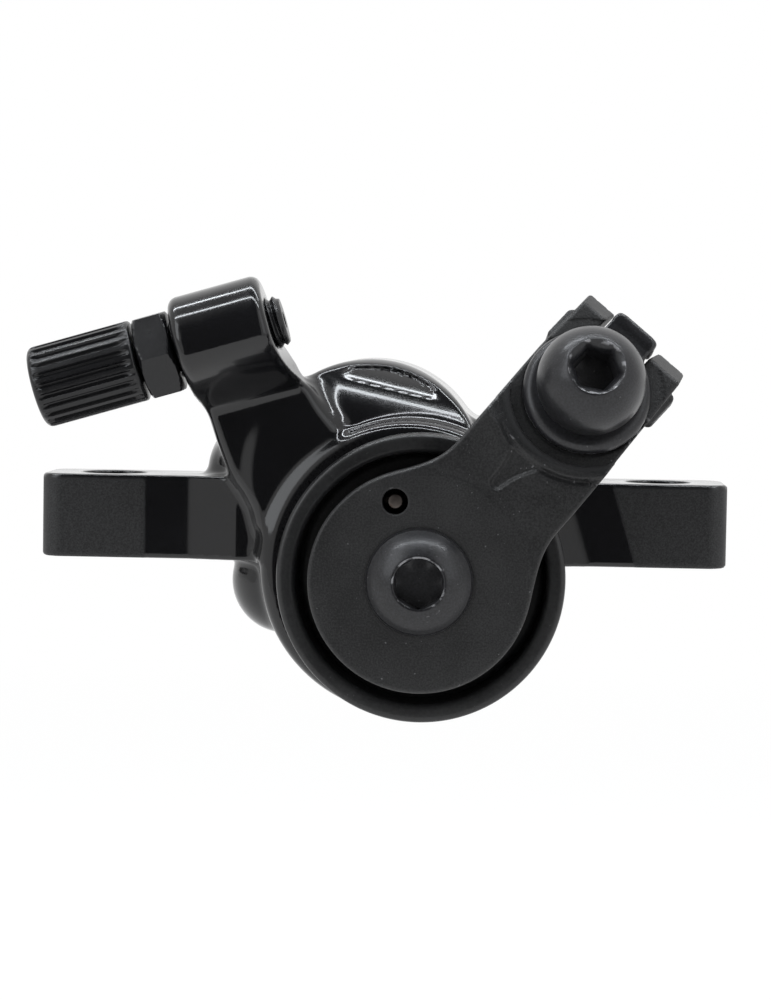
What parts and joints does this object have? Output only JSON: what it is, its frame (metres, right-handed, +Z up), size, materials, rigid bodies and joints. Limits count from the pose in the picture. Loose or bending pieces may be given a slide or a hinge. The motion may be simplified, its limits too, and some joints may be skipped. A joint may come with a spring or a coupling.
{
  "type": "disc brake caliper",
  "caption": "Cable-pulled disc brake caliper with two post mounts, a sprung arm with a cable clamp, and a fluted cable adjuster.",
  "frame": {"origin": "midway between the two mounting holes, on the ears' underside", "axes": "+X along the mounting holes towards the arm's side, +Y from the arm towards the wheel, +Z up, away from the posts"},
  "size_m": [0.0926, 0.0587, 0.0578],
  "materials": {
    "gloss_black": "gloss black paint over a casting",
    "satin_black": "satin black coat with a fine grain",
    "matt_black": "matt black moulding",
    "black_steel": "black oxide",
    "black_aluminium": "black anodised",
    "bright_steel": "machined",
    "spring_steel": "drawn wire",
    "brass": "machined",
    "rubber": "black rubber",
    "brake_lining": "sintered lining",
    "magnet": "nickel plate"
  },
  "bodies": {
    "caliper": {"caliper_body": "gloss_black", "inner_body": "gloss_black", "body_bolts": "black_steel", "spring_cover": "matt_black", "return_spring": "spring_steel", "shaft_bush": "brass", "shaft_seal": "rubber", "thrust_washer": "bright_steel", "guide_pins": "bright_steel", "adjuster_seal": "rubber"},
    "arm": {"actuator_arm": "satin_black", "arm_bolt": "black_steel", "pinch_bolt": "black_steel", "clamp_washer": "black_steel", "cam_shaft": "bright_steel"},
    "cage": {"ball_cage": "brass"},
    "balls": {"ramp_balls": "bright_steel"},
    "outer_pad": {"piston": "bright_steel", "outer_pad_plate": "bright_steel", "outer_pad_lining": "brake_lining", "outer_pad_magnet": "magnet"},
    "inner_pad": {"pad_carrier": "bright_steel", "inner_pad_plate": "bright_steel", "inner_pad_lining": "brake_lining", "inner_pad_magnet": "magnet"},
    "adjuster": {"pad_adjuster_screw": "black_steel"},
    "cable_stop": {"housing_seat": "bright_steel"},
    "barrel": {"barrel_knob": "black_aluminium", "barrel_stud": "black_aluminium"},
    "locknut": {"barrel_locknut": "black_aluminium"}
  },
  "joints": [
    {"name": "arm_pivot", "type": "hinge", "parent": "caliper", "child": "arm", "pos_m": [0.00555, 0, -0.0011], "axis": [0, -1, 0], "range_deg": [0, 45], "stiffness_Nm_per_rad": 0.25, "springref_deg": -34.38, "deforming": ["return_spring"]},
    {"name": "cage_turn", "type": "hinge", "parent": "caliper", "child": "cage", "pos_m": [0.00555, 0, -0.0011], "axis": [0, -1, 0], "range_deg": [0, 23]},
    {"name": "ball_rise", "type": "slide", "parent": "cage", "child": "balls", "axis": [0, 1, 0], "range_m": [0, 0.00062]},
    {"name": "piston_slide", "type": "slide", "parent": "caliper", "child": "outer_pad", "axis": [0, 1, 0], "range_m": [0, 0.00122]},
    {"name": "inner_pad_slide", "type": "slide", "parent": "caliper", "child": "inner_pad", "axis": [0, -1, 0], "range_m": [0, 0.00091]},
    {"name": "adjuster_turn", "type": "hinge", "parent": "inner_pad", "child": "adjuster", "pos_m": [0.00555, 0, -0.0011], "axis": [0, -1, 0], "range_deg": [0, 324]},
    {"name": "cable_stop_slide", "type": "slide", "parent": "caliper", "child": "cable_stop", "axis": [-0.9598, 0, -0.2807], "range_m": [0, 0.00302]},
    {"name": "barrel_turn", "type": "hinge", "parent": "cable_stop", "child": "barrel", "pos_m": [-0.0206, -0.015, 0.03], "axis": [-0.9598, 0, -0.2807], "range_deg": [0, 1080]},
    {"name": "locknut_turn", "type": "hinge", "parent": "caliper", "child": "locknut", "pos_m": [-0.02708, -0.015, 0.02811], "axis": [-0.9598, 0, -0.2807], "range_deg": [0, 90]}
  ],
  "couplings": [
    {"joint": "cage_turn", "follows": "arm_pivot", "ratio": 0.5},
    {"joint": "ball_rise", "follows": "arm_pivot", "m_per_rad": 0.00076394},
    {"joint": "piston_slide", "follows": "arm_pivot", "m_per_rad": 0.0015279},
    {"joint": "inner_pad_slide", "follows": "adjuster_turn", "m_per_rad": 0.00015915},
    {"joint": "cable_stop_slide", "follows": "barrel_turn", "m_per_rad": 0.00015915}
  ]
}
